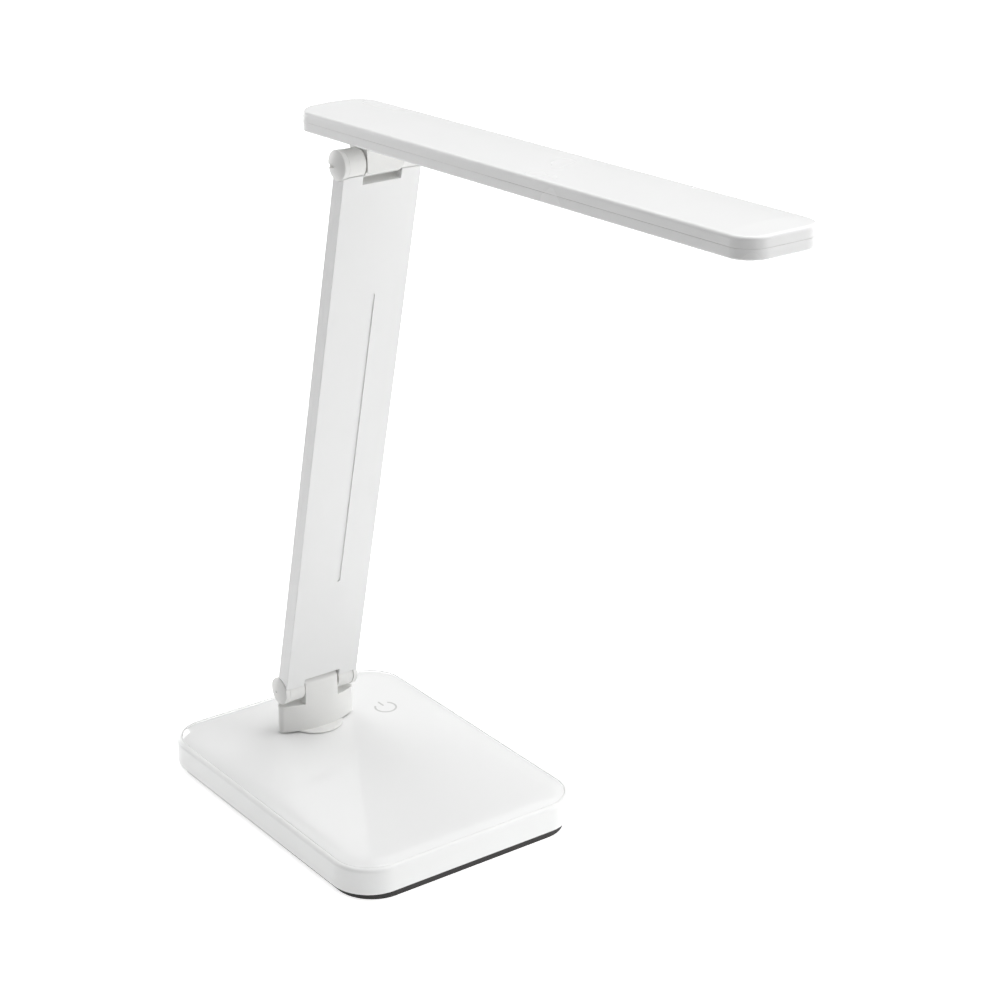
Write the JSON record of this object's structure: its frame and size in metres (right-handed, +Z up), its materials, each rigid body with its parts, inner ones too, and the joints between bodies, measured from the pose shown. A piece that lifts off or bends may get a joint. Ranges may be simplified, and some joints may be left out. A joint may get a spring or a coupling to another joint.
{
  "type": "folding led desk lamp",
  "caption": "Folding LED desk lamp: a slim bar head on a flat folding arm, on a swivelling pedestal over a weighted rectangular base with a touch key.",
  "frame": {"origin": "centre of the base's underside, on the table", "axes": "+Z up, -Y to the lamp's front where the head reaches, +X to the lamp's right along the two hinge axes"},
  "size_m": [0.12, 0.3295, 0.3217],
  "materials": {
    "gloss_white": "glossy white",
    "base_white": "glossy white",
    "arm_white": "satin white",
    "head_white": "satin white",
    "hinge_white": "matte off-white",
    "inner_plastic": "matte white",
    "diffuser_white": "frosted white",
    "pad_rubber": "matte black",
    "symbol_grey": "printed grey",
    "steel": "zinc plated",
    "aluminium": "plain",
    "brass": "plain",
    "fibre": "fibre washer",
    "board_green": "solder mask",
    "black_plastic": "moulded black",
    "cable_jacket": "flat cable jacket",
    "led_yellow": "phosphor over a white body"
  },
  "bodies": {
    "base": {"base_pad": "pad_rubber", "base_bottom_cover": "inner_plastic", "base_housing": "base_white", "base_top_panel": "gloss_white", "touch_symbol": "symbol_grey", "touch_electrode": "brass", "control_board": "board_green", "board_components": "black_plastic", "dc_jack": "black_plastic", "ballast_plate": "steel", "base_screws": "steel", "swivel_bracket": "steel", "bracket_screws": "steel", "swivel_washer": "inner_plastic"},
    "turret": {"swivel_disc": "hinge_white", "swivel_shaft": "steel", "swivel_friction_washer": "fibre", "swivel_spring_washer": "steel", "swivel_nut": "steel", "pedestal": "hinge_white", "pedestal_screws": "steel", "lower_hinge_bush": "brass"},
    "arm": {"lower_fork": "hinge_white", "lower_hinge_bolt": "steel", "lower_hinge_nut": "steel", "lower_hinge_washers": "fibre", "lower_cap_left": "hinge_white", "lower_cap_right": "hinge_white", "arm_rear_shell": "arm_white", "arm_front_cover": "arm_white", "arm_spine": "steel", "arm_screws": "steel", "arm_cable": "cable_jacket", "upper_fork": "hinge_white", "upper_hinge_bolt": "steel", "upper_hinge_nut": "steel", "upper_hinge_washers": "fibre", "upper_cap_left": "hinge_white", "upper_cap_right": "hinge_white"},
    "head": {"upper_hinge_bush": "brass", "head_tongue": "hinge_white", "tongue_screws": "steel", "head_top_shell": "head_white", "head_bottom_frame": "head_white", "diffuser": "diffuser_white", "reflector_frame": "inner_plastic", "led_board": "aluminium", "leds": "led_yellow", "heat_spreader": "aluminium", "head_screws": "steel"}
  },
  "joints": [
    {"name": "base_swivel", "type": "hinge", "parent": "base", "child": "turret", "pos_m": [0, 0.044, 0.0175], "axis": [0, 0, 1], "range_deg": [-90, 90]},
    {"name": "arm_fold", "type": "hinge", "parent": "turret", "child": "arm", "pos_m": [0, 0.044, 0.038], "axis": [1, 0, 0], "range_deg": [-52.1, 77.9]},
    {"name": "head_tilt", "type": "hinge", "parent": "arm", "child": "head", "pos_m": [0, -0.01079, 0.29359], "axis": [1, 0, 0], "range_deg": [-75.4, 104.6]}
  ]
}
